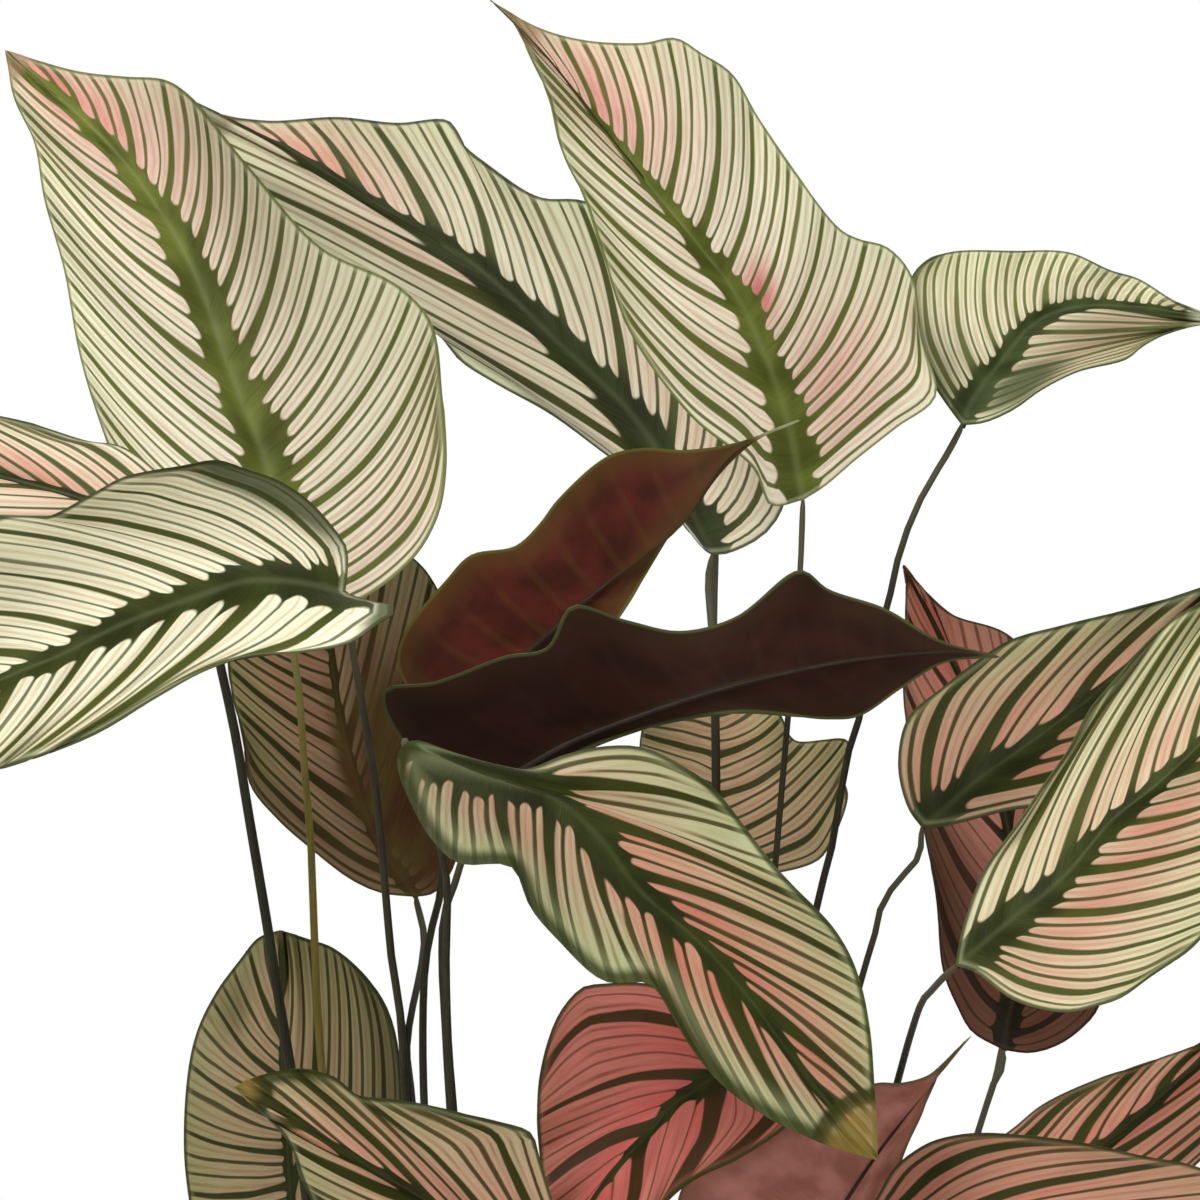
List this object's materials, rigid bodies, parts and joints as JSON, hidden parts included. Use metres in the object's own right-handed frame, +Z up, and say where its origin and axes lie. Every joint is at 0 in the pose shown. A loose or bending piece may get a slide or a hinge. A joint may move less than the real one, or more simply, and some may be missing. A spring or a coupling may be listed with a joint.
{
  "type": "potted white star calathea",
  "caption": "Potted foliage plant: oval striped leaves with waved edges on long thin stalks, rising from soil in a plain round tapered pot.",
  "frame": {"origin": "middle of the flat underside of the pot, on the floor", "axes": "+Z up along the pot's axis, front towards -Y, +X to the right as seen from the front"},
  "size_m": [0.6074, 0.3677, 0.8592],
  "materials": {
    "blade_green": "satin",
    "blade_lime": "satin",
    "blade_coral": "satin",
    "blade_maroon": "matte",
    "stalk_dark": "satin",
    "stalk_lime": "satin",
    "pot_plastic": "satin",
    "potting_soil": "matte"
  },
  "bodies": {
    "root": {"blade_upperLeft": "blade_lime", "stalk_upperLeft": "stalk_lime", "blade_upperBack": "blade_green", "stalk_upperBack": "stalk_dark", "blade_lowerLeftFront": "blade_green", "stalk_lowerLeftFront": "stalk_dark", "blade_farLeft": "blade_green", "stalk_farLeft": "stalk_dark", "blade_upperRight": "blade_green", "stalk_upperRight": "stalk_dark", "blade_smallRight": "blade_green", "stalk_smallRight": "stalk_dark", "blade_darkUpper": "blade_maroon", "stalk_darkUpper": "stalk_dark", "blade_darkMiddle": "blade_maroon", "stalk_darkMiddle": "stalk_dark", "blade_centreFront": "blade_green", "stalk_centreFront": "stalk_dark", "blade_shadedLeft": "blade_green", "stalk_shadedLeft": "stalk_dark", "blade_shadedCentre": "blade_green", "stalk_shadedCentre": "stalk_dark", "blade_lowLeftBack": "blade_green", "stalk_lowLeftBack": "stalk_dark", "blade_lowLeftFront": "blade_green", "stalk_lowLeftFront": "stalk_dark", "blade_coralCentre": "blade_coral", "stalk_coralCentre": "stalk_dark", "blade_darkLow": "blade_maroon", "stalk_darkLow": "stalk_dark", "blade_redRight": "blade_coral", "stalk_redRight": "stalk_dark", "blade_right": "blade_green", "stalk_right": "stalk_dark", "blade_rightFront": "blade_green", "stalk_rightFront": "stalk_dark", "blade_lowRightBack": "blade_green", "stalk_lowRightBack": "stalk_dark", "blade_lowRightFront": "blade_green", "stalk_lowRightFront": "stalk_dark", "blade_backLeft": "blade_maroon", "stalk_backLeft": "stalk_dark", "blade_backCentre": "blade_maroon", "stalk_backCentre": "stalk_dark", "blade_backRight": "blade_maroon", "stalk_backRight": "stalk_dark", "blade_lowBackLeft": "blade_maroon", "stalk_lowBackLeft": "stalk_dark", "blade_lowBackRight": "blade_maroon", "stalk_lowBackRight": "stalk_dark", "blade_lowFront": "blade_green", "stalk_lowFront": "stalk_dark", "blade_lowRightSide": "blade_green", "stalk_lowRightSide": "stalk_dark", "blade_lowLeftSide": "blade_green", "stalk_lowLeftSide": "stalk_dark", "pot": "pot_plastic", "soil": "potting_soil"}
  },
  "joints": []
}
